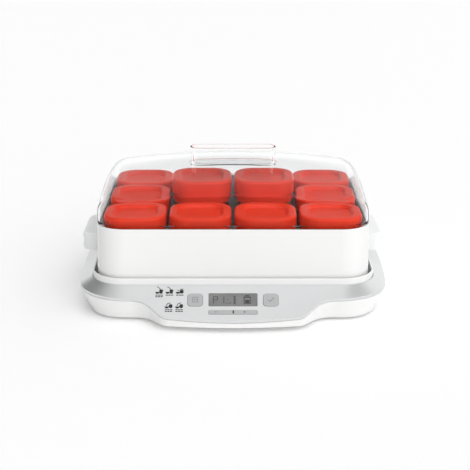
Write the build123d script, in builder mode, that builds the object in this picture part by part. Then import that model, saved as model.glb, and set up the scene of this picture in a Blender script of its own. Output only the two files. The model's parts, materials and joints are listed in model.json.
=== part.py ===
from build123d import *
import math
import os

os.makedirs("parts", exist_ok=True)

# Yogurt maker for twelve jars: a heated base with a sloping control panel, a lift-off tub, a clear
# cover and the jars with their caps. X runs along the front, the front faces -Y and Z is up.
# Z = 0 is the table, and the origin is the bottom centre of the whole machine. All sizes are in mm.

# ---------------------------------------------------------------- driving dimensions

FIT = 0.3  # gap between pieces that move against each other
JAR_PITCH = 75.0
COLUMN_X = [-1.5 * JAR_PITCH, -0.5 * JAR_PITCH, 0.5 * JAR_PITCH, 1.5 * JAR_PITCH]
ROW_Y = {"front": -JAR_PITCH, "middle": 0.0, "back": JAR_PITCH}

FRONT_REACH = 168.6  # from the tub's centre to the foremost point of the control panel
BACK_REACH = 144.8  # from the tub's centre to the back edge
TUB_Y = (FRONT_REACH - BACK_REACH) / 2

# base: half width, half depth and corner radius of its outlines
HOUSING_BOTTOM = 2.6
SEAM = 30.0  # height of the edge between the white housing and the silver deck
FOOT_OUTLINE = (170.0, 128.0, 42.0)
SEAM_OUTLINE = (182.0, BACK_REACH, 56.5)
SIDE_RADIUS = 1040.0  # radius of the bowed left and right sides
REBATE_DEPTH = 1.3  # groove that makes the dark line under the deck's edge
REBATE_HEIGHT = 1.0
HOUSING_WALL = 2.6
FLOOR_TOP = HOUSING_BOTTOM + 3.0
COVER_PLATE_TOP = FLOOR_TOP + 2.2

# control-panel lobe in front: the straight front edge beside it, where it leaves that edge, its
# corner and its foremost point
FOOT_LOBE = {"edge": 127.0, "shoulder": 99.6, "corner": (77.0, 158.5), "tip": 167.4}
SEAM_LOBE = {"edge": 142.0, "shoulder": 103.4, "corner": (80.5, 168.0), "tip": 169.7}
LOBE_INNER_RADIUS = 28.0
LOBE_OUTER_RADIUS = 14.0
CHIN_START = 124.0  # the underside of the lobe rises forwards from here
CHIN_SLOPE = 0.095

# silver deck, sloping down all round from the lip of the recess
DECK_TOP = 42.0
DECK_SLOPE = 0.59
DECK_ANGLE = math.degrees(math.atan(DECK_SLOPE))
DECK_THICK = 2.6
DECK_DROP = DECK_THICK / math.cos(math.radians(DECK_ANGLE))
SEAM_GAP = 0.4

# recess for the tub
LIP = (163.4, 124.5, 39.0)
LIP_TOP = 49.0
LIP_WALL = 2.0
LIP_GROOVE = 0.5  # gap in the deck round the foot of the lip
RECESS_FLOOR = 28.0
RECESS_UNDERSIDE = 25.5
PLATE = (138.0, 101.0, 28.0)
PLATE_FLANGE = (144.0, 107.0, 34.0)

# tub
TUB_TOP = 106.1
TUB_RIM = (156.2, 119.8, 34.0)
TUB_FOOT = (158.0, 118.9, 33.1)
TUB_WALL = 3.2
TUB_FLOOR = 2.5
JAR_BASE = RECESS_FLOOR + TUB_FLOOR + 1.5

# jars and caps, all rounded squares: half width and corner radius
JAR_BODY = (31.2, 19.5)
JAR_BORE = (28.8, 17.1)
JAR_RIM = (33.4, 21.7)
JAR_TOP = 111.5
CAP = (35.7, 24.0)
CAP_TOP = 115.5
CAP_SKIRT = 16.0
CAP_WALL = 1.8
CAP_PANEL = (23.0, 13.0)
CAP_DISH = 4.3
CAP_DISH_DRAFT = 40.0
CAP_PLUG = (27.9, 16.2)  # underside of the dish, which fits the jar's mouth
STRAINER_RAISE = 21.4

# cover
COVER_FOOT = (156.0, 119.6, 34.0)
COVER_CROWN = 153.5
COVER_ARC_ACROSS = 1160.0  # radius of the crown's curve from left to right
COVER_ARC_ALONG = 500.0  # radius of the crown's curve from front to back
COVER_SHOULDER = 21.5
COVER_DRAFT = 1.0
COVER_WALL = 2.5
SKIRT_DEPTH = 5.0
GRIP_TOP = 173.3

# control panel, in the deck's front plane: across and up the slope from the foot of the lip
WINDOW = {"at": (0.0, -21.9), "size": (54.8, 18.3)}
KEY = {"across": 42.4, "up": -22.2, "size": (17.0, 17.8), "radius": 4.0}
ROCKER = {"at": (0.0, -39.4), "size": (54.4, 5.7)}
BOARD_TOP = -9.0
BOARD_THICK = 1.6

# ---------------------------------------------------------------- shared planes and shapes

GROUND = Plane((0, TUB_Y, 0))
SLOPE = math.radians(DECK_ANGLE)
PANEL = Plane((0, TUB_Y - LIP[1], DECK_TOP), x_dir=(1, 0, 0), z_dir=(0, -math.sin(SLOPE), math.cos(SLOPE)))
PANEL_NORMAL = Axis(PANEL.origin, PANEL.z_dir)
BACKWARD = Plane((0, TUB_Y, 0), x_dir=(1, 0, 0), z_dir=(0, 1, 0))  # local axes X and -Z
SIDEWAYS = Plane((0, TUB_Y, 0), x_dir=(0, 1, 0), z_dir=(1, 0, 0))  # local axes Y and Z


def save(builder, label):
    """Labels a finished piece and writes its STEP file."""
    builder.part.label = label
    export_step(builder.part, f"parts/{label}.step")


def shrink(size, amount):
    """The outline that lies the given distance inside another one."""
    return tuple(value - amount for value in size)


def prism(plane, places, size, low, high, radius=0.0, mode=Mode.ADD):
    """Rectangular prisms between two heights above a plane, with rounded corners if asked."""
    with BuildSketch(plane.offset(low)) as outline:
        with Locations(*places):
            if radius:
                RectangleRounded(size[0], size[1], radius)
            else:
                Rectangle(size[0], size[1])
    extrude(outline.sketch, amount=high - low, mode=mode)


def posts(plane, places, radius, low, high, mode=Mode.ADD):
    """Round posts or holes between two heights above a plane."""
    with BuildSketch(plane.offset(low)) as outline:
        with Locations(*places):
            Circle(radius)
    extrude(outline.sketch, amount=high - low, mode=mode)


def block(size, low, high, mode=Mode.ADD):
    """Upright block on the tub's axis from an outline (half width, half depth, corner radius)."""
    prism(GROUND, [(0, 0)], (2 * size[0], 2 * size[1]), low, high, size[2], mode)


def frustum(low, low_size, high, high_size, mode=Mode.ADD):
    """Block on the tub's axis whose outline changes evenly from one height to another."""
    with BuildSketch(GROUND.offset(low)) as bottom:
        RectangleRounded(2 * low_size[0], 2 * low_size[1], low_size[2])
    with BuildSketch(GROUND.offset(high)) as top:
        RectangleRounded(2 * high_size[0], 2 * high_size[1], high_size[2])
    loft([bottom.sketch, top.sketch], ruled=True, mode=mode)


def rounded_square(place, half_and_radius, low, high, mode=Mode.ADD):
    """Upright rounded-square block for the jars and caps."""
    half, radius = half_and_radius
    prism(GROUND, [place], (2 * half, 2 * half), low, high, radius, mode)


def square_places(half_x, half_y):
    """The four places of a rectangle's corners."""
    return [(sx * half_x, sy * half_y) for sx in (-1, 1) for sy in (-1, 1)]


def base_outline(height, size, lobe, inset=0.0):
    """Outline of the base at one height: a rounded rectangle with the control-panel lobe in front."""
    half_w, half_d, corner = size
    lobe_x, lobe_y = lobe["corner"]
    shoulder = lobe["shoulder"]
    edge = lobe["edge"]
    end = half_w - SIDE_RADIUS + math.sqrt(SIDE_RADIUS ** 2 - half_d ** 2)
    with BuildSketch(GROUND.offset(height)) as outline:
        with BuildLine():
            Polyline((-lobe_x, -lobe_y), (-shoulder, -edge), (-end, -edge))
            ThreePointArc((-end, -edge), (-half_w, 0), (-end, half_d))
            Line((-end, half_d), (end, half_d))
            ThreePointArc((end, half_d), (half_w, 0), (end, -edge))
            Polyline((end, -edge), (shoulder, -edge), (lobe_x, -lobe_y))
            ThreePointArc((lobe_x, -lobe_y), (0, -lobe["tip"]), (-lobe_x, -lobe_y))
        make_face()
        for across, radius in ((end, corner), (shoulder, LOBE_INNER_RADIUS), (lobe_x, LOBE_OUTER_RADIUS)):
            fillet([v for v in outline.vertices() if abs(abs(v.X) - across) < 0.01], radius)
        if inset:
            offset(amount=-inset, mode=Mode.REPLACE)
    return outline.sketch


def base_body(inset=0.0, low=HOUSING_BOTTOM, mode=Mode.ADD):
    """Undercut body of the base from the foot outline to the seam."""
    foot = base_outline(low, FOOT_OUTLINE, FOOT_LOBE, inset)
    seam = base_outline(SEAM, SEAM_OUTLINE, SEAM_LOBE, inset)
    loft([foot, seam], ruled=True, mode=mode)


def under_slope(drop, mode):
    """Everything that lies under the deck's sloping surface, lowered by a drop."""
    run = DECK_TOP / DECK_SLOPE
    frustum(-drop, shrink(LIP, -run), DECK_TOP - drop, LIP, mode)


def chin(rise, mode):
    """Wedge under the control-panel lobe, raised by a distance."""
    reach = FRONT_REACH + 10.0
    top = HOUSING_BOTTOM + rise + CHIN_SLOPE * (reach - CHIN_START)
    with BuildSketch(SIDEWAYS) as wedge:
        with BuildLine():
            Polyline(
                (-CHIN_START, 0),
                (-reach, 0),
                (-reach, top),
                (-CHIN_START, HOUSING_BOTTOM + rise),
                (-CHIN_START, 0),
            )
        make_face()
    extrude(wedge.sketch, amount=SEAM_OUTLINE[0], both=True, mode=mode)


def screws(plane, places, shank, low, high, head, head_low):
    """Round-headed screws: shanks between two heights with their heads below them."""
    posts(plane, places, shank, low, high)
    posts(plane, places, head, head_low, low)


# ---------------------------------------------------------------- base: housing and deck

BOSSES = square_places(151.5, 70.0) + square_places(70.0, 118.5)
FEET = square_places(143.0, 106.0)
LUGS_SIDE = square_places(LIP[0] + 4.4, 60.0)
LUGS_END = square_places(100.0, 129.0)
INLET = (100.0, 14.0)  # across and above the table, in the back wall
INLET_FACE = 140.0

with BuildPart() as housing_core:
    base_body(inset=REBATE_DEPTH)
    under_slope(DECK_DROP + SEAM_GAP, Mode.INTERSECT)

with BuildPart() as housing_cavity:
    base_body(inset=HOUSING_WALL, low=FLOOR_TOP)
    chin(FLOOR_TOP - HOUSING_BOTTOM, Mode.SUBTRACT)

with BuildPart() as lower_housing:
    base_body()
    under_slope(DECK_DROP + SEAM_GAP + REBATE_HEIGHT, Mode.INTERSECT)
    add(housing_core.part)
    chin(0.0, Mode.SUBTRACT)
    add(housing_cavity.part, mode=Mode.SUBTRACT)
    block((140.0, 104.0, 20.0), HOUSING_BOTTOM, FLOOR_TOP, Mode.SUBTRACT)
    # pad that carries the gland of the mains lead
    prism(GROUND, [(INLET[0], INLET_FACE - 6.0)], (24.0, 12.0), FLOOR_TOP - 1.0, 21.5)
    posts(BACKWARD, [(INLET[0], -INLET[1])], 6.0, 120.0, 145.0, Mode.SUBTRACT)
    # holes for the screws, countersunk from below, and for the stems of the feet
    posts(GROUND, BOSSES, 1.7, HOUSING_BOTTOM, FLOOR_TOP, Mode.SUBTRACT)
    posts(GROUND, BOSSES, 3.8, HOUSING_BOTTOM, HOUSING_BOTTOM + 1.8, Mode.SUBTRACT)
    posts(GROUND, FEET, 4.1, HOUSING_BOTTOM, FLOOR_TOP, Mode.SUBTRACT)
save(lower_housing, "lower_housing")

DECK_LUG_TOP = 32.4
BOARD_POSTS = [(-54.5, -10.5), (54.5, -10.5), (-54.5, -38.5), (54.5, -38.5)]

with BuildPart() as deck:
    base_body()
    extrude(base_outline(SEAM, SEAM_OUTLINE, SEAM_LOBE), amount=DECK_TOP - SEAM)
    under_slope(0.0, Mode.INTERSECT)
    under_slope(DECK_DROP, Mode.SUBTRACT)
    block(shrink(LIP, -LIP_GROOVE), SEAM, DECK_TOP + 1.0, Mode.SUBTRACT)
    # bosses for the lugs of the recess tray and for the control board
    posts(GROUND, LUGS_SIDE + LUGS_END, 3.0, DECK_LUG_TOP, 37.2)
    posts(GROUND, LUGS_SIDE + LUGS_END, 1.5, DECK_LUG_TOP, 36.0, Mode.SUBTRACT)
    posts(PANEL, BOARD_POSTS, 2.6, BOARD_TOP, 0.2 - DECK_THICK)
    posts(PANEL, BOARD_POSTS, 1.05, BOARD_TOP, -3.0, Mode.SUBTRACT)
    # stepped window opening, two key holes and the slot of the rocker
    window_w, window_h = WINDOW["size"]
    prism(PANEL, [WINDOW["at"]], (window_w + 0.4, window_h + 0.4), -2.0, 1.0, 1.6, Mode.SUBTRACT)
    prism(PANEL, [WINDOW["at"]], (window_w - 3.0, window_h - 3.0), -DECK_THICK - 1.0, 0.0, 1.0, Mode.SUBTRACT)
    key_w, key_h = KEY["size"]
    key_places = [(-KEY["across"], KEY["up"]), (KEY["across"], KEY["up"])]
    key_hole = (key_w + 2 * FIT, key_h + 2 * FIT)
    prism(PANEL, key_places, key_hole, -DECK_THICK - 1.0, 1.0, KEY["radius"] + FIT, Mode.SUBTRACT)
    rocker_w, rocker_h = ROCKER["size"]
    rocker_slot = (rocker_w + 2 * FIT, rocker_h + 2 * FIT)
    prism(PANEL, [ROCKER["at"]], rocker_slot, -DECK_THICK - 1.0, 1.0, 2.0, Mode.SUBTRACT)
save(deck, "deck")

with BuildPart() as recess_tray:
    block(shrink(LIP, 0.1), RECESS_UNDERSIDE, LIP_TOP)
    block(shrink(LIP, LIP_WALL + 0.1), RECESS_FLOOR, LIP_TOP, Mode.SUBTRACT)
    fillet(recess_tray.faces().sort_by(Axis.Z)[-1].edges(), 0.8)
    block(shrink(PLATE, -0.5), RECESS_UNDERSIDE, RECESS_FLOOR, Mode.SUBTRACT)
    # lugs under the deck, and bosses that stand on the bottom cover
    prism(GROUND, LUGS_SIDE, (11.0, 12.0), 30.0, DECK_LUG_TOP)
    prism(GROUND, LUGS_END, (12.0, 10.5), 30.0, DECK_LUG_TOP)
    posts(GROUND, LUGS_SIDE + LUGS_END, 1.7, 30.0, DECK_LUG_TOP, Mode.SUBTRACT)
    posts(GROUND, BOSSES, 4.5, COVER_PLATE_TOP, RECESS_UNDERSIDE)
    posts(GROUND, BOSSES, 1.55, COVER_PLATE_TOP, 18.0, Mode.SUBTRACT)
save(recess_tray, "recess_tray")

with BuildPart() as bottom_cover:
    block((156.5, 121.0, 30.0), FLOOR_TOP, COVER_PLATE_TOP)
    prism(GROUND, [(x, y) for x in range(-90, 91, 20) for y in (-40, 0, 40)], (4.0, 26.0),
          FLOOR_TOP, COVER_PLATE_TOP, 1.9, Mode.SUBTRACT)
    posts(GROUND, BOSSES, 1.7, FLOOR_TOP, COVER_PLATE_TOP, Mode.SUBTRACT)
    posts(GROUND, FEET, 3.0, FLOOR_TOP, COVER_PLATE_TOP, Mode.SUBTRACT)
save(bottom_cover, "bottom_cover")

with BuildPart() as feet:
    posts(GROUND, FEET, 8.0, 0.0, HOUSING_BOTTOM)
    fillet(feet.faces().group_by(Axis.Z)[0].edges(), 1.0)
    posts(GROUND, FEET, 4.0, HOUSING_BOTTOM, FLOOR_TOP)
save(feet, "feet")

with BuildPart() as bottom_screws:
    screws(GROUND, BOSSES, 1.5, HOUSING_BOTTOM + 1.8, 16.0, 3.5, HOUSING_BOTTOM + 0.2)
save(bottom_screws, "bottom_screws")

with BuildPart() as deck_screws:
    screws(GROUND, LUGS_SIDE + LUGS_END, 1.45, 30.0, 35.5, 2.8, 28.2)
save(deck_screws, "deck_screws")

# ---------------------------------------------------------------- base: heating

SHIELD_BODY = (132.0, 95.0, 24.0)
SHIELD_BOTTOM = 13.0
TUBE_RADIUS = 3.25
TUBE_HEIGHT = 22.0
CLIP_PLACES = [(-60.0, -70.0), (60.0, -70.0), (-60.0, 70.0), (60.0, 70.0)]

with BuildPart() as heating_plate:
    block(PLATE_FLANGE, 23.5, RECESS_UNDERSIDE)
    block(PLATE, RECESS_UNDERSIDE, RECESS_FLOOR)
    block(shrink(PLATE, 4.0), 23.5, RECESS_UNDERSIDE, Mode.SUBTRACT)
save(heating_plate, "heating_plate")

with BuildPart() as heat_shield:
    block(PLATE_FLANGE, 22.5, 23.5)
    block(SHIELD_BODY, SHIELD_BOTTOM, 22.5)
    block(shrink(SHIELD_BODY, 1.0), SHIELD_BOTTOM + 1.0, 23.5, Mode.SUBTRACT)
save(heat_shield, "heat_shield")

with BuildPart() as heating_element:
    with BuildLine(GROUND.offset(TUBE_HEIGHT)):
        FilletPolyline(
            (-14.0, 86.0),
            (-14.0, 70.0),
            (-112.0, 70.0),
            (-112.0, -70.0),
            (112.0, -70.0),
            (112.0, 70.0),
            (14.0, 70.0),
            (14.0, 86.0),
            radius=12.0,
        )
    with BuildSketch(Plane((-14.0, TUB_Y + 86.0, TUBE_HEIGHT), z_dir=(0, -1, 0))):
        Circle(TUBE_RADIUS)
    sweep()
save(heating_element, "heating_element")

with BuildPart() as element_clips:
    prism(GROUND, CLIP_PLACES, (12.0, 14.0), 17.6, RECESS_UNDERSIDE)
    for side in (-70.0, 70.0):
        with BuildSketch(Plane((-70.0, TUB_Y + side, TUBE_HEIGHT), z_dir=(1, 0, 0))) as bore:
            Circle(TUBE_RADIUS + 0.1)
        extrude(bore.sketch, amount=140.0, mode=Mode.SUBTRACT)
save(element_clips, "element_clips")

with BuildPart() as thermal_fuse:
    with BuildSketch(Plane((44.0, TUB_Y, 22.9), z_dir=(1, 0, 0))):
        Circle(2.4)
    extrude(amount=16.0)
    with BuildSketch(Plane((32.0, TUB_Y, 22.9), z_dir=(1, 0, 0))):
        Circle(0.6)
    extrude(amount=40.0)
save(thermal_fuse, "thermal_fuse")

with BuildPart() as temperature_sensor:
    posts(GROUND, [(0, 0)], 6.5, 19.0, RECESS_UNDERSIDE)
    posts(GROUND, [(0, 0)], 4.0, SHIELD_BOTTOM + 1.0, 19.0)
save(temperature_sensor, "temperature_sensor")

# ---------------------------------------------------------------- base: electronics

POWER_AT = (0.0, 110.0)
POWER_POSTS = [(-50.0, 101.0), (50.0, 101.0)]

with BuildPart() as power_board:
    prism(GROUND, [POWER_AT], (112.0, 26.0), 9.8, 11.4, 1.0)
    posts(GROUND, POWER_POSTS, 2.5, COVER_PLATE_TOP, 9.8)
save(power_board, "power_board")

with BuildPart() as transformer:
    prism(GROUND, [(-26.0, 110.0)], (26.0, 21.0), 11.4, 14.4)
    prism(GROUND, [(-26.0, 110.0)], (18.0, 21.0), 14.4, 21.5)
    prism(GROUND, [(-26.0, 110.0)], (26.0, 12.0), 14.4, 20.0)
save(transformer, "transformer")

with BuildPart() as relay:
    prism(GROUND, [(6.0, 110.0)], (19.0, 15.0), 11.4, 21.4, 0.8)
save(relay, "relay")

with BuildPart() as terminal_block:
    prism(GROUND, [(36.0, 110.0)], (20.0, 9.0), 11.4, 20.4)
    posts(GROUND, [(31.0, 110.0), (36.0, 110.0), (41.0, 110.0)], 1.6, 16.4, 20.4, Mode.SUBTRACT)
save(terminal_block, "terminal_block")

with BuildPart() as control_board:
    prism(PANEL, [(0.0, -25.7)], (114.0, 35.0), BOARD_TOP - BOARD_THICK, BOARD_TOP, 5.0)
    posts(PANEL, BOARD_POSTS, 1.25, BOARD_TOP - BOARD_THICK, BOARD_TOP, Mode.SUBTRACT)
save(control_board, "control_board")

with BuildPart() as board_screws:
    screws(PANEL, BOARD_POSTS, 1.0, BOARD_TOP - BOARD_THICK, -4.0, 2.2, BOARD_TOP - BOARD_THICK - 1.4)
save(board_screws, "board_screws")

with BuildPart() as display_module:
    prism(PANEL, [WINDOW["at"]], (52.0, 17.4), BOARD_TOP, -DECK_THICK - 0.1)
save(display_module, "display_module")

with BuildPart() as display_window:
    prism(PANEL, [WINDOW["at"]], WINDOW["size"], -2.0, -0.3, 1.4)
save(display_window, "display_window")

SWITCH_PLUNGER = -4.5
switch_places = key_places + [(-20.0, ROCKER["at"][1]), (20.0, ROCKER["at"][1])]

with BuildPart() as key_switches:
    prism(PANEL, switch_places, (6.0, 6.0), BOARD_TOP, SWITCH_PLUNGER - 0.9)
    posts(PANEL, switch_places, 1.7, SWITCH_PLUNGER - 0.9, SWITCH_PLUNGER)
save(key_switches, "key_switches")

with BuildPart() as inlet_gland:
    inlet_place = [(INLET[0], -INLET[1])]
    posts(BACKWARD, inlet_place, 7.6, INLET_FACE - 18.0, INLET_FACE - 15.2)
    posts(BACKWARD, inlet_place, 5.9, INLET_FACE - 15.2, INLET_FACE)
    posts(BACKWARD, inlet_place, 7.6, INLET_FACE, INLET_FACE + 2.5)
    fillet(inlet_gland.faces().sort_by(Axis.Y)[-1].edges(), 1.2)
    posts(BACKWARD, inlet_place, 3.4, INLET_FACE - 18.0, INLET_FACE + 2.5, Mode.SUBTRACT)
save(inlet_gland, "inlet_gland")

# ---------------------------------------------------------------- control panel: keys and rocker

KEY_PROUD = 0.7

for label, side in (("select_button", -1), ("ok_button", 1)):
    key_place = (side * KEY["across"], KEY["up"])
    with BuildPart() as key:
        prism(PANEL, [key_place], KEY["size"], -DECK_THICK - 0.1, KEY_PROUD, KEY["radius"])
        fillet(key.faces().sort_by(PANEL_NORMAL)[-1].edges(), 0.5)
        prism(PANEL, [key_place], (key_w + 2.4, key_h + 2.0), -DECK_THICK - 1.1, -DECK_THICK - 0.1, 2.0)
    save(key, label)

with BuildPart() as time_rocker:
    prism(PANEL, [ROCKER["at"]], ROCKER["size"], -DECK_THICK - 0.6, 0.5, 1.8)
    prism(PANEL, [ROCKER["at"]], (48.0, rocker_h + 2.0), -DECK_THICK - 1.3, -DECK_THICK - 0.6, 1.5)
    prism(PANEL, [ROCKER["at"]], (2.0, 4.0), BOARD_TOP + 0.3, -DECK_THICK - 1.3)
save(time_rocker, "time_rocker")

# ---------------------------------------------------------------- tub

HANDLE_HALF = 37.5
HANDLE_TOP = 75.5
HANDLE_BOTTOM = 54.0
HANDLE_REACH = 181.5
HANDLE_SEAT = 157.5
HANDLE_ROUND = 6.0
HANDLE_WAIST = (179.9, 65.5)
HANDLE_BULGE = (180.9, 61.0)
HANDLE_LIP = (181.1, 57.5)
HANDLE_SCREWS = [(-22.0, 63.0), (22.0, 63.0)]  # along Y from the tub's centre, and height
shoulder_x = HANDLE_REACH - HANDLE_ROUND
shoulder_z = HANDLE_TOP - HANDLE_ROUND

with BuildPart() as tub:
    frustum(RECESS_FLOOR, TUB_FOOT, TUB_TOP, TUB_RIM)
    fillet(tub.faces().sort_by(Axis.Z)[0].edges(), 7.0)
    inside_low, inside_high = shrink(TUB_FOOT, TUB_WALL), shrink(TUB_RIM, TUB_WALL)
    frustum(RECESS_FLOOR + TUB_FLOOR, inside_low, TUB_TOP, inside_high, Mode.SUBTRACT)
    fillet(tub.faces().sort_by(Axis.Z)[-1].edges(), 0.6)
    for low in (-160.0, 150.0):
        posts(SIDEWAYS, HANDLE_SCREWS, 1.7, low, low + 10.0, Mode.SUBTRACT)
save(tub, "tub")

for label, side in (("left_handle", -1), ("right_handle", 1)):
    with BuildPart() as handle:
        with BuildSketch(Plane((0, TUB_Y + HANDLE_HALF, 0), x_dir=(side, 0, 0), z_dir=(0, -side, 0))):
            with BuildLine():
                Line((HANDLE_SEAT, HANDLE_BOTTOM), (HANDLE_SEAT, HANDLE_TOP))
                Line((HANDLE_SEAT, HANDLE_TOP), (shoulder_x, HANDLE_TOP))
                TangentArc((shoulder_x, HANDLE_TOP), (HANDLE_REACH, shoulder_z), tangent=(1, 0))
                ThreePointArc((HANDLE_REACH, shoulder_z), HANDLE_WAIST, HANDLE_BULGE)
                ThreePointArc(HANDLE_BULGE, HANDLE_LIP, (HANDLE_LIP[0] - 0.9, HANDLE_BOTTOM))
                Line((HANDLE_LIP[0] - 0.9, HANDLE_BOTTOM), (HANDLE_SEAT, HANDLE_BOTTOM))
            make_face()
        extrude(amount=2 * HANDLE_HALF * side)
        prism(GROUND, [(side * 140.0, 0)], (2 * (HANDLE_REACH - 140.0), 2 * HANDLE_HALF), 50.0, 80.0,
              13.0, Mode.INTERSECT)
        prism(GROUND, [(side * 169.1, 0)], (18.2, 2 * HANDLE_HALF - 8.0), 50.0, 72.4, 6.0, Mode.SUBTRACT)
        pilot = sorted((side * HANDLE_SEAT, side * (HANDLE_SEAT + 3.0)))
        posts(SIDEWAYS, HANDLE_SCREWS, 1.55, pilot[0], pilot[1], Mode.SUBTRACT)
    save(handle, label)

with BuildPart() as handle_screws:
    for shank_low, head_low in ((-160.0, -153.9), (153.9, 152.2)):
        posts(SIDEWAYS, HANDLE_SCREWS, 1.5, shank_low, shank_low + 6.1)
        posts(SIDEWAYS, HANDLE_SCREWS, 3.2, head_low, head_low + 1.7)
save(handle_screws, "handle_screws")

JAR_PLACES = [(x, y) for y in ROW_Y.values() for x in COLUMN_X]

with BuildPart() as jar_rack:
    block(shrink(TUB_FOOT, TUB_WALL + 1.1), RECESS_FLOOR + TUB_FLOOR, JAR_BASE)
    posts(GROUND, JAR_PLACES, 22.0, RECESS_FLOOR + TUB_FLOOR, JAR_BASE, Mode.SUBTRACT)
    prism(GROUND, [(-JAR_PITCH, 0), (0, 0), (JAR_PITCH, 0)], (2.0, 222.0), JAR_BASE, JAR_BASE + 6.0)
    prism(GROUND, [(0, -JAR_PITCH / 2), (0, JAR_PITCH / 2)], (294.0, 2.0), JAR_BASE, JAR_BASE + 6.0)
save(jar_rack, "jar_rack")

# ---------------------------------------------------------------- jars, strainers and caps

with BuildPart() as jar_well:
    rounded_square((0, 0), JAR_BORE, JAR_BASE + 4.0, JAR_BASE + 10.0)
    fillet(jar_well.faces().sort_by(Axis.Z)[0].edges(), 5.0)

with BuildPart() as jar_shape:
    rounded_square((0, 0), JAR_BODY, JAR_BASE, JAR_TOP)
    fillet(jar_shape.faces().sort_by(Axis.Z)[0].edges(), 6.0)
    rounded_square((0, 0), JAR_RIM, JAR_TOP - 7.0, JAR_TOP)
    rounded_square((0, 0), JAR_BORE, JAR_BASE + 10.0, JAR_TOP, Mode.SUBTRACT)
    add(jar_well.part, mode=Mode.SUBTRACT)
    fillet(jar_shape.faces().sort_by(Axis.Z)[-1].edges(), 0.8)

DISH_FLOOR = CAP_TOP - CAP_DISH

with BuildPart() as cap_shape:
    rounded_square((0, 0), CAP, CAP_TOP - CAP_SKIRT, CAP_TOP)
    fillet(cap_shape.faces().sort_by(Axis.Z)[-1].edges(), 3.0)
    bore_size = (CAP[0] - CAP_WALL, CAP[1] - CAP_WALL)
    rounded_square((0, 0), bore_size, CAP_TOP - CAP_SKIRT, JAR_TOP, Mode.SUBTRACT)
    rounded_square((0, 0), CAP_PLUG, DISH_FLOOR - CAP_WALL, JAR_TOP)
    with BuildSketch(GROUND.offset(DISH_FLOOR)) as panel_outline:
        RectangleRounded(2 * CAP_PANEL[0], 2 * CAP_PANEL[0], CAP_PANEL[1])
    extrude(panel_outline.sketch, amount=CAP_DISH, taper=-CAP_DISH_DRAFT, mode=Mode.SUBTRACT)
    rim = cap_shape.faces().sort_by(Axis.Z)[-1]
    fillet(rim.inner_wires()[0].edges(), 1.8)
    fillet(cap_shape.edges().filter_by_position(Axis.Z, DISH_FLOOR - 0.01, DISH_FLOOR + 0.01), 1.5)

COLLAR_TOP = JAR_TOP + STRAINER_RAISE
COLLAR_BEAD = (34.5, 22.8)
BEAD_TOP = 119.0
BASKET = (28.2, 16.5)
BASKET_BOTTOM = 76.0
STRAINER_WALL = 1.5

with BuildPart() as strainer_shape:
    rounded_square((0, 0), JAR_RIM, JAR_TOP, COLLAR_TOP)
    rounded_square((0, 0), COLLAR_BEAD, BEAD_TOP - 2.0, BEAD_TOP)
    rounded_square((0, 0), BASKET, BASKET_BOTTOM, JAR_TOP)
    inner_collar = (JAR_RIM[0] - STRAINER_WALL, JAR_RIM[1] - STRAINER_WALL)
    inner_basket = (BASKET[0] - STRAINER_WALL, BASKET[1] - STRAINER_WALL)
    rounded_square((0, 0), inner_collar, JAR_TOP + STRAINER_WALL, COLLAR_TOP, Mode.SUBTRACT)
    rounded_square((0, 0), inner_basket, BASKET_BOTTOM + STRAINER_WALL, COLLAR_TOP, Mode.SUBTRACT)
    prism(GROUND, [(x, y) for x in (-16, -8, 0, 8, 16) for y in (-11, 11)], (2.4, 17.0),
          BASKET_BOTTOM, BASKET_BOTTOM + STRAINER_WALL, 1.1, Mode.SUBTRACT)

for row, row_y in ROW_Y.items():
    for column, column_x in enumerate(COLUMN_X, 1):
        raised = row == "middle" and column in (2, 3)
        lift = STRAINER_RAISE if raised else 0.0
        with BuildPart() as jar:
            with Locations((column_x, row_y, 0)):
                add(jar_shape.part)
        save(jar, f"jar_{row}_{column}")
        with BuildPart() as cap:
            with Locations((column_x, row_y, lift)):
                add(cap_shape.part)
        save(cap, f"cap_{row}_{column}")
        if raised:
            with BuildPart() as strainer:
                with Locations((column_x, row_y, 0)):
                    add(strainer_shape.part)
            save(strainer, f"strainer_{row}_{column}")

# ---------------------------------------------------------------- cover

SKIRT_TOP = TUB_TOP + 2.5
DOME_HEIGHT = 60.0
SKIRT = shrink(TUB_RIM, TUB_WALL + 0.4)


def dome(inset, low):
    """Solid dome of the cover, moved inwards by a distance, standing on a height."""
    half_w, half_d, corner = shrink(COVER_FOOT, inset)
    crown = COVER_CROWN - inset
    edge_drop = half_w ** 2 / (2 * COVER_ARC_ACROSS)
    turning_axis = COVER_CROWN - COVER_ARC_ALONG
    with BuildPart() as shape:
        with BuildSketch(GROUND.offset(low)) as foot:
            RectangleRounded(2 * half_w, 2 * half_d, corner)
        extrude(foot.sketch, amount=DOME_HEIGHT, taper=COVER_DRAFT)
        with BuildSketch(Plane((0, TUB_Y, 0), x_dir=(1, 0, 0), z_dir=(0, -1, 0))) as crown_profile:
            with BuildLine():
                ThreePointArc((-half_w, crown - edge_drop), (0, crown), (half_w, crown - edge_drop))
                Polyline(
                    (half_w, crown - edge_drop),
                    (half_w, turning_axis),
                    (-half_w, turning_axis),
                    (-half_w, crown - edge_drop),
                )
            make_face()
        revolve(crown_profile.sketch, Axis((0, TUB_Y, turning_axis), (1, 0, 0)), mode=Mode.INTERSECT)
        fillet(shape.faces().sort_by(Axis.Z)[-1].edges(), COVER_SHOULDER - inset)
    return shape.part


outer_dome = dome(0.0, TUB_TOP)
inner_dome = dome(COVER_WALL, SKIRT_TOP)

with BuildPart() as cover:
    add(outer_dome)
    block(SKIRT, TUB_TOP - SKIRT_DEPTH, SKIRT_TOP)
    block(shrink(SKIRT, 2.4), TUB_TOP - SKIRT_DEPTH, SKIRT_TOP, Mode.SUBTRACT)
    add(inner_dome, mode=Mode.SUBTRACT)
save(cover, "cover")

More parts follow.
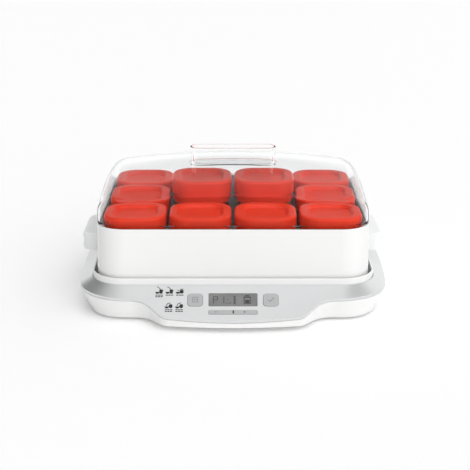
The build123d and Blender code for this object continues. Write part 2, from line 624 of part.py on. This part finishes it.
GRIP_FOOT = (99.0, 21.0)
GRIP_MOUTH = (103.0, 23.5)
GRIP_WALL = 2.2
GRIP_PAD = (107.0, 29.0)
PAD_THICK = 1.2
pad_dome = dome(-PAD_THICK, TUB_TOP)

with BuildPart() as cover_grip:
    with BuildSketch(GROUND.offset(COVER_CROWN - 8.0)) as pad:
        SlotOverall(*GRIP_PAD)
    extrude(pad.sketch, amount=16.0)
    add(pad_dome, mode=Mode.INTERSECT)
    with BuildSketch(GROUND.offset(COVER_CROWN - 6.0)) as grip_foot:
        SlotOverall(*GRIP_FOOT)
    with BuildSketch(GROUND.offset(GRIP_TOP)) as grip_mouth:
        SlotOverall(*GRIP_MOUTH)
    loft([grip_foot.sketch, grip_mouth.sketch], ruled=True)
    with BuildSketch(GROUND.offset(COVER_CROWN + PAD_THICK)) as pocket_foot:
        SlotOverall(*(size - 2 * GRIP_WALL for size in GRIP_FOOT))
    with BuildSketch(GROUND.offset(GRIP_TOP)) as pocket_mouth:
        SlotOverall(*(size - 2 * GRIP_WALL for size in GRIP_MOUTH))
    loft([pocket_foot.sketch, pocket_mouth.sketch], ruled=True, mode=Mode.SUBTRACT)
    fillet(cover_grip.faces().sort_by(Axis.Z)[-1].edges(), 0.7)
    add(outer_dome, mode=Mode.SUBTRACT)
save(cover_grip, "cover_grip")
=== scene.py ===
import json
import math

import bmesh
import bpy
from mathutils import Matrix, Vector


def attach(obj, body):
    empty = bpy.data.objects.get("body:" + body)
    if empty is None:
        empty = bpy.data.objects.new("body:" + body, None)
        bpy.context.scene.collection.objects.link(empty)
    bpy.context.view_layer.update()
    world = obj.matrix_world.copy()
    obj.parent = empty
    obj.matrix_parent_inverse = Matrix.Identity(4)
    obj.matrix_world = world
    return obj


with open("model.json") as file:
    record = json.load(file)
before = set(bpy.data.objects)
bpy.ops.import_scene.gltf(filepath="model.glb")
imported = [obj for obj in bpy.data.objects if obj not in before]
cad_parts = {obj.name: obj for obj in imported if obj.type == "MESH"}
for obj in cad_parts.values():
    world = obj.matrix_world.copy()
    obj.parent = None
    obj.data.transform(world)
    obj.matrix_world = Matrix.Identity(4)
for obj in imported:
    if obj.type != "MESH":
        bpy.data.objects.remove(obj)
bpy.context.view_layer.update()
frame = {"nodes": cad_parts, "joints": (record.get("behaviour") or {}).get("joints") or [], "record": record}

# Yogurt maker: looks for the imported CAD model. Lengths are in metres, and MM turns millimetres into them.
MM = 0.001
NODES = frame["nodes"]
SLOT_OF = {part["node"]: part["material_slot"] for part in frame["record"]["subparts"]}

# ---------------------------------------------------------------- camera

CAMERA_PLACE = Vector((0.0, -1.2964, 0.4884))
CAMERA_PITCH = 18.11  # degrees below the horizon
SENSOR_WIDTH = 36.0
LENS = 85.25
SHIFT = 0.0043
FAR_CLIP = 60.0


def make_camera():
    """Camera in front of the machine, a little above it and looking down at it."""
    data = bpy.data.cameras.new("camera")
    data.lens = LENS
    data.sensor_width = SENSOR_WIDTH
    data.shift_x = SHIFT
    data.clip_end = FAR_CLIP
    camera = bpy.data.objects.new("camera", data)
    camera.location = CAMERA_PLACE
    camera.rotation_euler = (math.radians(90.0 - CAMERA_PITCH), 0.0, 0.0)
    bpy.context.scene.collection.objects.link(camera)
    bpy.context.scene.camera = camera


make_camera()

# ---------------------------------------------------------------- studio


def make_sun(name, direction, spread, strength):
    """Very wide, even light from a direction, like a large softbox that isn't seen in reflections."""
    data = bpy.data.lights.new(name, "SUN")
    data.angle = math.radians(spread)
    data.energy = strength
    light = bpy.data.objects.new(name, data)
    light.rotation_euler = (-Vector(direction)).to_track_quat("-Z", "Y").to_euler()
    light.visible_glossy = False
    bpy.context.scene.collection.objects.link(light)


def make_card(tree, direction, inner, outer):
    """Mask of a soft-edged round card seen in a direction of the studio: 1 on the card and 0 off it."""
    coords = tree.nodes.new("ShaderNodeTexCoord")
    dot = tree.nodes.new("ShaderNodeVectorMath")
    dot.operation = "DOT_PRODUCT"
    dot.inputs[1].default_value = Vector(direction).normalized()
    tree.links.new(coords.outputs["Generated"], dot.inputs[0])
    mask = tree.nodes.new("ShaderNodeMapRange")
    mask.interpolation_type = "SMOOTHSTEP"
    mask.inputs["From Min"].default_value = math.cos(math.radians(outer))
    mask.inputs["From Max"].default_value = math.cos(math.radians(inner))
    tree.links.new(dot.outputs["Value"], mask.inputs["Value"])
    return mask.outputs["Result"]


# direction of each card, its inner and outer radius in degrees, and how much of the light it takes away
CARDS = [
    ((-1.0, 0.25, 0.12), 14.0, 28.0, 0.9),
    ((1.0, 0.25, 0.12), 14.0, 28.0, 0.9),
    ((-1.0, -0.35, 0.25), 32.0, 75.0, 0.75),
    ((0.0, 0.96, 0.27), 5.0, 13.0, 0.45),
    ((0.0, 0.87, 0.50), 10.0, 22.0, 0.45),
    ((0.0, 0.64, 0.77), 12.0, 24.0, 0.30),
    ((-0.36, 0.19, 0.91), 8.0, 19.0, 0.25),
    ((0.36, 0.24, 0.90), 9.0, 19.0, 0.60),
    ((-0.50, 0.60, 0.62), 14.0, 28.0, 0.90),
]
STUDIO_STRENGTH = 1.10
FLOOR_HALF = 12.0
FLOOR_GREY = 0.96
FLOOR_GLOW = 0.08
TOP_LIGHT = {"direction": (0.05, -0.40, 0.88), "spread": 50.0, "strength": 0.55}
FRONT_LIGHT = {"direction": (0.35, -1.0, 0.6), "spread": 60.0, "strength": 0.62}


def make_world():
    """White studio all round, with grey cards that shape the silver deck and draw the edges of clear parts."""
    world = bpy.data.worlds.new("studio")
    world.use_nodes = True
    bpy.context.scene.world = world
    tree = world.node_tree
    background = tree.nodes["Background"]
    left_over = None
    for direction, inner, outer, share in CARDS:
        dimming = tree.nodes.new("ShaderNodeMath")
        dimming.operation = "MULTIPLY_ADD"
        tree.links.new(make_card(tree, direction, inner, outer), dimming.inputs[0])
        dimming.inputs[1].default_value = -share
        dimming.inputs[2].default_value = 1.0
        if left_over is None:
            left_over = dimming.outputs[0]
            continue
        product = tree.nodes.new("ShaderNodeMath")
        product.operation = "MULTIPLY"
        tree.links.new(left_over, product.inputs[0])
        tree.links.new(dimming.outputs[0], product.inputs[1])
        left_over = product.outputs[0]
    strength = tree.nodes.new("ShaderNodeMath")
    strength.operation = "MULTIPLY"
    strength.inputs[1].default_value = STUDIO_STRENGTH
    tree.links.new(left_over, strength.inputs[0])
    tree.links.new(strength.outputs[0], background.inputs["Strength"])
    background.inputs["Color"].default_value = (1.0, 1.0, 1.0, 1.0)


def make_floor():
    """Plain pale floor, large enough to fill the view behind the machine, with a faint glow of its own."""
    mesh = bpy.data.meshes.new("floor")
    corners = [(x * FLOOR_HALF, y * FLOOR_HALF, 0) for x, y in ((-1, -1), (1, -1), (1, 1), (-1, 1))]
    mesh.from_pydata(corners, [], [(0, 1, 2, 3)])
    floor = bpy.data.objects.new("floor", mesh)
    bpy.context.scene.collection.objects.link(floor)
    material = bpy.data.materials.new("floor_paper")
    material.use_nodes = True
    shader = material.node_tree.nodes["Principled BSDF"]
    shader.inputs["Base Color"].default_value = (FLOOR_GREY, FLOOR_GREY, FLOOR_GREY, 1.0)
    shader.inputs["Roughness"].default_value = 0.75
    shader.inputs["Specular IOR Level"].default_value = 0.2
    shader.inputs["Emission Color"].default_value = (1.0, 1.0, 1.0, 1.0)
    shader.inputs["Emission Strength"].default_value = FLOOR_GLOW
    mesh.materials.append(material)


make_world()
make_floor()
make_sun("top_light", **TOP_LIGHT)
make_sun("front_light", **FRONT_LIGHT)
bpy.context.scene.view_settings.view_transform = "Standard"

# ---------------------------------------------------------------- material tools


def new_material(name):
    """Material with an empty Principled shader: gives the material, its shader and its tree."""
    material = bpy.data.materials.new(name)
    material.use_nodes = True
    return material, material.node_tree.nodes["Principled BSDF"], material.node_tree


def place_texture(tree, kind, scale, stretch=(1.0, 1.0, 1.0), detail=3.0):
    """Noise or voronoi texture in object coordinates, with its own scale along each axis."""
    coords = tree.nodes.new("ShaderNodeTexCoord")
    mapping = tree.nodes.new("ShaderNodeMapping")
    mapping.inputs["Scale"].default_value = stretch
    tree.links.new(coords.outputs["Object"], mapping.inputs["Vector"])
    texture = tree.nodes.new(kind)
    texture.inputs["Scale"].default_value = scale
    if "Detail" in texture.inputs:
        texture.inputs["Detail"].default_value = detail
    tree.links.new(mapping.outputs["Vector"], texture.inputs["Vector"])
    return texture


def ramp(tree, source, low, high, positions=(0.3, 0.7)):
    """Colour ramp between two colours or greys."""
    node = tree.nodes.new("ShaderNodeValToRGB")
    for element, position, value in zip(node.color_ramp.elements, positions, (low, high)):
        element.position = position
        element.color = (*value, 1.0) if isinstance(value, tuple) else (value, value, value, 1.0)
    tree.links.new(source, node.inputs[0])
    return node.outputs["Color"]


def add_bump(tree, shader, source, strength, distance):
    """Bump from a texture, in metres of height."""
    bump = tree.nodes.new("ShaderNodeBump")
    bump.inputs["Strength"].default_value = strength
    bump.inputs["Distance"].default_value = distance
    tree.links.new(source, bump.inputs["Height"])
    tree.links.new(bump.outputs["Normal"], shader.inputs["Normal"])
    return bump


def moulded(name, colour, roughness, variation=0.03, grain=2500.0, grain_depth=0.02, coat=0.0, subsurface=0.0,
            uneven=0.15, specular=0.5, bleed=(1.0, 0.35, 0.25)):
    """Moulded plastic: faint colour drift, uneven sheen and a fine grain."""
    material, shader, tree = new_material(name)
    drift = place_texture(tree, "ShaderNodeTexNoise", 18.0)
    darker = tuple(c * (1.0 - variation) for c in colour)
    lighter = tuple(min(1.0, c * (1.0 + variation)) for c in colour)
    tree.links.new(ramp(tree, drift.outputs["Fac"], darker, lighter), shader.inputs["Base Color"])
    sheen = place_texture(tree, "ShaderNodeTexNoise", 60.0, detail=5.0)
    smoother, rougher = roughness * (1.0 - uneven), roughness * (1.0 + uneven)
    tree.links.new(ramp(tree, sheen.outputs["Fac"], smoother, rougher), shader.inputs["Roughness"])
    fine = place_texture(tree, "ShaderNodeTexNoise", grain, detail=2.0)
    add_bump(tree, shader, fine.outputs["Fac"], 0.4, grain_depth * MM)
    shader.inputs["Coat Weight"].default_value = coat
    shader.inputs["Coat Roughness"].default_value = 0.06
    shader.inputs["Specular IOR Level"].default_value = specular
    if subsurface:
        shader.inputs["Subsurface Weight"].default_value = subsurface
        shader.inputs["Subsurface Radius"].default_value = bleed
        shader.inputs["Subsurface Scale"].default_value = 2.0 * MM
    return material


def metal(name, colour, roughness, stretch, scale=900.0, depth=0.01, spangle=False):
    """Bare or plated metal with rolled lines, or with the crystal pattern of zinc."""
    material, shader, tree = new_material(name)
    lines = place_texture(tree, "ShaderNodeTexVoronoi" if spangle else "ShaderNodeTexNoise", scale, stretch)
    source = lines.outputs["Color" if spangle else "Fac"]
    darker = tuple(c * 0.8 for c in colour)
    tree.links.new(ramp(tree, source, darker, colour), shader.inputs["Base Color"])
    tree.links.new(ramp(tree, source, roughness * 1.3, roughness * 0.8), shader.inputs["Roughness"])
    add_bump(tree, shader, source, 0.3, depth * MM)
    shader.inputs["Metallic"].default_value = 1.0
    return material


def clear(name, colour, ior, roughness, wave_scale, wave_depth, opacity=1.0):
    """Clear glass or plastic with the faint waviness of a moulding. Opacity below 1 lets light straight through."""
    material, shader, tree = new_material(name)
    drift = place_texture(tree, "ShaderNodeTexNoise", wave_scale * 0.5)
    paler = tuple(min(1.0, c * 1.01) for c in colour)
    tree.links.new(ramp(tree, drift.outputs["Fac"], colour, paler), shader.inputs["Base Color"])
    shader.inputs["Transmission Weight"].default_value = 1.0
    shader.inputs["IOR"].default_value = ior
    shader.inputs["Alpha"].default_value = opacity
    sheen = place_texture(tree, "ShaderNodeTexNoise", 40.0)
    tree.links.new(ramp(tree, sheen.outputs["Fac"], roughness, roughness * 1.6), shader.inputs["Roughness"])
    wave = place_texture(tree, "ShaderNodeTexNoise", wave_scale)
    add_bump(tree, shader, wave.outputs["Fac"], 0.25, wave_depth * MM)
    return material


def silver_lacquer(name):
    """Silver lacquer: fine metal flakes under a clear coat. Its roughness drifts within one narrow band."""
    material, shader, tree = new_material(name)
    flakes = place_texture(tree, "ShaderNodeTexVoronoi", 2600.0)
    tree.links.new(ramp(tree, flakes.outputs["Color"], (0.66, 0.665, 0.67), (0.71, 0.715, 0.72), (0.2, 0.8)),
                   shader.inputs["Base Color"])
    cloud = place_texture(tree, "ShaderNodeTexNoise", 45.0, detail=5.0)
    tree.links.new(ramp(tree, cloud.outputs["Fac"], 0.29, 0.33), shader.inputs["Roughness"])
    fine = place_texture(tree, "ShaderNodeTexNoise", 700.0, detail=1.0)
    add_bump(tree, shader, fine.outputs["Fac"], 0.05, 0.01 * MM)
    shader.inputs["Metallic"].default_value = 0.72
    shader.inputs["Coat Weight"].default_value = 0.2
    shader.inputs["Coat Roughness"].default_value = 0.15
    return material


def circuit_board(name):
    """Green solder mask with copper tracks showing through."""
    material, shader, tree = new_material(name)
    tracks = place_texture(tree, "ShaderNodeTexBrick", 220.0)
    tracks.inputs["Color1"].default_value = (0.015, 0.17, 0.06, 1.0)
    tracks.inputs["Color2"].default_value = (0.02, 0.22, 0.08, 1.0)
    tracks.inputs["Mortar"].default_value = (0.05, 0.34, 0.12, 1.0)
    tracks.inputs["Mortar Size"].default_value = 0.04
    tree.links.new(tracks.outputs["Color"], shader.inputs["Base Color"])
    shader.inputs["Roughness"].default_value = 0.3
    add_bump(tree, shader, tracks.outputs["Fac"], 0.3, 0.03 * MM)
    return material


def liquid_crystal(name):
    """Grey reflective display behind its window, with a faint dot matrix and an uneven backing."""
    material, shader, tree = new_material(name)
    backing = place_texture(tree, "ShaderNodeTexNoise", 35.0)
    tree.links.new(ramp(tree, backing.outputs["Fac"], (0.155, 0.155, 0.155), (0.195, 0.195, 0.193)),
                   shader.inputs["Base Color"])
    cells = place_texture(tree, "ShaderNodeTexVoronoi", 3000.0)
    add_bump(tree, shader, cells.outputs["Distance"], 0.1, 0.01 * MM)
    shader.inputs["Roughness"].default_value = 0.22
    shader.inputs["Coat Weight"].default_value = 0.25
    shader.inputs["Coat Roughness"].default_value = 0.04
    return material


# ---------------------------------------------------------------- materials of the CAD nodes

MATERIALS = {
    "white_plastic": moulded("white_plastic", (0.83, 0.83, 0.825), 0.24, variation=0.002, coat=0.3, uneven=0.04,
                             grain_depth=0.01),
    "silver_plastic": silver_lacquer("silver_plastic"),
    "soft_white_plastic": moulded("soft_white_plastic", (0.86, 0.865, 0.87), 0.42, variation=0.01,
                                  grain_depth=0.03, subsurface=0.35, bleed=(1.0, 1.0, 1.0)),
    "clear_plastic": clear("clear_plastic", (0.985, 0.99, 0.99), 1.15, 0.005, 9.0, 0.01),
    "red_plastic": moulded("red_plastic", (0.86, 0.044, 0.014), 0.34, variation=0.03, grain_depth=0.03,
                           subsurface=0.08, specular=0.12),
    "jar_glass": clear("jar_glass", (0.985, 0.99, 0.988), 1.45, 0.01, 14.0, 0.12, opacity=0.7),
    "window": liquid_crystal("window"),
    "key_plastic": moulded("key_plastic", (0.42, 0.425, 0.43), 0.4, variation=0.02, grain_depth=0.02),
    "heater_aluminium": metal("heater_aluminium", (0.82, 0.82, 0.83), 0.36, (0.02, 1.0, 1.0)),
    "heater_steel": metal("heater_steel", (0.46, 0.43, 0.40), 0.35, (1.0, 1.0, 1.0), scale=300.0),
    "shield_steel": metal("shield_steel", (0.66, 0.67, 0.69), 0.36, (1.0, 1.0, 1.0), scale=110.0, spangle=True),
    "screw_steel": metal("screw_steel", (0.70, 0.70, 0.69), 0.35, (1.0, 1.0, 0.1), scale=1500.0),
    "rubber": moulded("rubber", (0.10, 0.10, 0.10), 0.75, variation=0.15, grain=1500.0, grain_depth=0.08),
    "board": circuit_board("board"),
    "component": moulded("component", (0.03, 0.03, 0.032), 0.5, variation=0.2, grain_depth=0.05),
    "copper_core": metal("copper_core", (0.62, 0.30, 0.14), 0.4, (1.0, 1.0, 18.0), scale=260.0),
    "grey_plastic": moulded("grey_plastic", (0.28, 0.28, 0.29), 0.5, variation=0.06, grain_depth=0.05),
}
INK = moulded("black_ink", (0.012, 0.012, 0.013), 0.45, variation=0.1, grain_depth=0.01)
GREY_INK = moulded("grey_ink", (0.22, 0.22, 0.23), 0.5, variation=0.1, grain_depth=0.01)
SEGMENT_INK = moulded("segment_ink", (0.035, 0.035, 0.037), 0.35, variation=0.05, grain_depth=0.01)


def dress_nodes():
    """Gives every carried-over CAD node the material of its slot."""
    for node, obj in NODES.items():
        obj.data.materials.clear()
        obj.data.materials.append(MATERIALS[SLOT_OF[node]])


dress_nodes()

# ---------------------------------------------------------------- panel artwork

press_axis = next(j["axis"] for j in frame["joints"] if j["name"] == "select_button_press")
PANEL_NORMAL = -Vector(press_axis).normalized()
PANEL_UP = Vector((0.0, PANEL_NORMAL.z, -PANEL_NORMAL.y))
ACROSS = Vector((1.0, 0.0, 0.0))


def face_centre(node):
    """Centre of the outer face of a piece that lies in the panel."""
    points = [vertex.co.copy() for vertex in NODES[node].data.vertices]
    level = max(p.dot(PANEL_NORMAL) for p in points)
    outer = [p for p in points if level - p.dot(PANEL_NORMAL) < 0.05 * MM]
    across = [p.x for p in outer]
    up = [p.dot(PANEL_UP) for p in outer]
    middle = ACROSS * (min(across) + max(across)) / 2 + PANEL_UP * (min(up) + max(up)) / 2
    return middle + PANEL_NORMAL * level


WINDOW_FACE = face_centre("display_window")
WINDOW_SUNK = 0.3
INK_HEIGHT = 0.05


class Artwork:
    """Flat printed shapes on a plane of the panel. Sizes are in mm, across and up from the plane's centre."""

    def __init__(self, name, centre, body, material, sunk=0.0):
        self.name, self.body, self.material = name, body, material
        self.centre = centre - PANEL_NORMAL * sunk * MM
        self.mesh = bmesh.new()

    def polygon(self, points):
        """Closed outline, extruded to the thickness of the print."""
        bottom = [self.mesh.verts.new(self.at(u, v, -INK_HEIGHT)) for u, v in points]
        face = self.mesh.faces.new(bottom)
        top = bmesh.ops.extrude_face_region(self.mesh, geom=[face])["geom"]
        moved = [e for e in top if isinstance(e, bmesh.types.BMVert)]
        bmesh.ops.translate(self.mesh, verts=moved, vec=PANEL_NORMAL * 2 * INK_HEIGHT * MM)

    def at(self, u, v, w=0.0):
        return self.centre + (ACROSS * u + PANEL_UP * v + PANEL_NORMAL * w) * MM

    def bar(self, u, v, width, height, radius=0.0):
        """Rectangle, with round corners if a radius is given."""
        half_w, half_h = width / 2, height / 2
        if not radius:
            self.polygon([(u - half_w, v - half_h), (u + half_w, v - half_h),
                          (u + half_w, v + half_h), (u - half_w, v + half_h)])
            return
        points = []
        corners = ((half_w, half_h, 0), (-half_w, half_h, 90), (-half_w, -half_h, 180), (half_w, -half_h, 270))
        for x, y, start in corners:
            cx, cy = x - math.copysign(radius, x), y - math.copysign(radius, y)
            for step in range(7):
                angle = math.radians(start + step * 15.0)
                points.append((u + cx + radius * math.cos(angle), v + cy + radius * math.sin(angle)))
        self.polygon(points)

    def disc(self, u, v, radius, start=0.0, end=360.0):
        """Disc or a sector of one."""
        steps = 24
        full = end - start >= 360.0
        angles = [math.radians(start + (end - start) * i / steps) for i in range(steps + (0 if full else 1))]
        self.polygon([(u + radius * math.cos(a), v + radius * math.sin(a)) for a in angles])

    def stroke(self, points, width):
        """Line of a given width through points, with round ends."""
        for (u0, v0), (u1, v1) in zip(points, points[1:]):
            length = math.hypot(u1 - u0, v1 - v0)
            side = (-(v1 - v0) / length * width / 2, (u1 - u0) / length * width / 2)
            self.polygon([(u0 + side[0], v0 + side[1]), (u0 - side[0], v0 - side[1]),
                          (u1 - side[0], v1 - side[1]), (u1 + side[0], v1 + side[1])])
        for u, v in points:
            self.disc(u, v, width / 2)

    def finish(self):
        """Makes the piece and lets it ride on its body."""
        bmesh.ops.recalc_face_normals(self.mesh, faces=self.mesh.faces)
        data = bpy.data.meshes.new(self.name)
        self.mesh.to_mesh(data)
        self.mesh.free()
        data.materials.append(self.material)
        obj = bpy.data.objects.new(self.name, data)
        bpy.context.scene.collection.objects.link(obj)
        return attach(obj, self.body)


def draw_icon(art, u, v, vessel, lines):
    """Small generic pictogram: a bowl beside a vessel, over caption dashes."""
    art.disc(u - 2.2, v - 2.4, 2.3, 180.0, 360.0)
    art.bar(u - 2.2, v - 2.2, 4.6, 0.7)
    if vessel == "jug":
        art.polygon([(u + 0.4, v - 4.4), (u + 3.6, v - 4.4), (u + 4.2, v + 1.4), (u - 0.2, v + 1.4)])
        art.stroke([(u + 1.6, v + 1.4), (u - 1.4, v + 5.0)], 0.8)
        art.stroke([(u - 1.4, v + 5.0), (u - 2.9, v + 5.3)], 0.7)
    elif vessel == "pot":
        art.bar(u + 2.0, v - 1.6, 4.4, 5.2, 1.4)
        art.bar(u + 2.0, v + 1.9, 3.6, 1.0)
        art.stroke([(u - 0.8, v - 0.4), (u - 3.0, v + 1.0)], 0.7)
    else:
        art.bar(u + 2.1, v - 1.4, 4.2, 5.6, 1.9)
        art.stroke([(u - 2.6, v - 0.8), (u - 1.2, v + 2.4), (u + 1.6, v + 3.0)], 0.9)
    for row in range(lines):
        for dash in range(3):
            art.bar(u - 2.9 + dash * 2.9, v - 6.5 - row * 2.3, 2.5, 1.25)


def make_panel_print():
    """The five programme pictograms left of the select key."""
    art = Artwork("panel_pictograms", WINDOW_FACE, "base", INK, -WINDOW_SUNK)
    for column, (vessel, lines) in enumerate((("jug", 2), ("jug", 1), ("pot", 1))):
        draw_icon(art, -83.2 + column * 11.6, 13.2, vessel, lines)
    for column in range(2):
        draw_icon(art, -71.8 + column * 11.8, -7.6, "urn", 2)
    art.finish()


DIGIT_HALF = 4.6
SEGMENT = 0.9


def make_display_segments():
    """Segments of the liquid-crystal display: a programme letter and number, a level scale and a jar."""
    art = Artwork("display_segments", WINDOW_FACE, "base", SEGMENT_INK)
    left, right = -21.8, -17.4
    art.stroke([(left, -DIGIT_HALF), (left, DIGIT_HALF)], SEGMENT)
    art.stroke([(left, DIGIT_HALF), (right, DIGIT_HALF), (right, 0.2), (left, 0.2)], SEGMENT)
    art.stroke([(-10.2, -DIGIT_HALF), (-10.2, DIGIT_HALF)], SEGMENT)
    for height in (-4.4, 0.6):
        art.bar(-6.4, height, 1.1, 1.1)
    art.bar(-3.2, -4.4, 3.0, SEGMENT)
    for step in range(6):
        art.bar(1.8, -5.4 + step * 2.1, 3.4, 0.8)
    art.stroke([(1.8, -5.8), (1.8, 5.6)], 0.5)
    art.stroke([(12.6, 3.0), (12.6, -5.2), (19.6, -5.2), (19.6, 3.0)], SEGMENT)
    art.bar(16.1, 4.0, 8.6, 1.5)
    art.bar(16.1, 6.1, 5.0, 1.3)
    art.bar(16.1, -2.2, 4.8, 4.4)
    art.finish()


def make_key_symbols():
    """Jar symbol on the select key and a tick on the other key."""
    art = Artwork("select_symbol", face_centre("select_button"), "select_button", GREY_INK)
    art.stroke([(-2.8, 1.6), (-2.8, -3.4), (2.8, -3.4), (2.8, 1.6)], 0.7)
    art.stroke([(-3.6, 3.4), (3.6, 3.4)], 0.8)
    art.stroke([(-1.6, 1.0), (0.0, -0.6), (1.6, 1.0)], 0.7)
    art.finish()
    art = Artwork("ok_symbol", face_centre("ok_button"), "ok_button", GREY_INK)
    art.stroke([(-3.2, -0.2), (-0.8, -2.8), (3.4, 2.8)], 0.9)
    art.finish()


def make_rocker_marks():
    """Dark centre mark with a minus and a plus on the rocker."""
    art = Artwork("rocker_marks", face_centre("time_rocker"), "time_rocker", SEGMENT_INK)
    art.bar(0.4, 0.0, 1.7, 4.2, 0.4)
    art.bar(-19.0, 0.0, 2.6, 0.6)
    art.bar(13.0, 0.0, 2.6, 0.6)
    art.bar(13.0, 0.0, 0.6, 2.6)
    art.finish()


make_panel_print()
make_display_segments()
make_key_symbols()
make_rocker_marks()
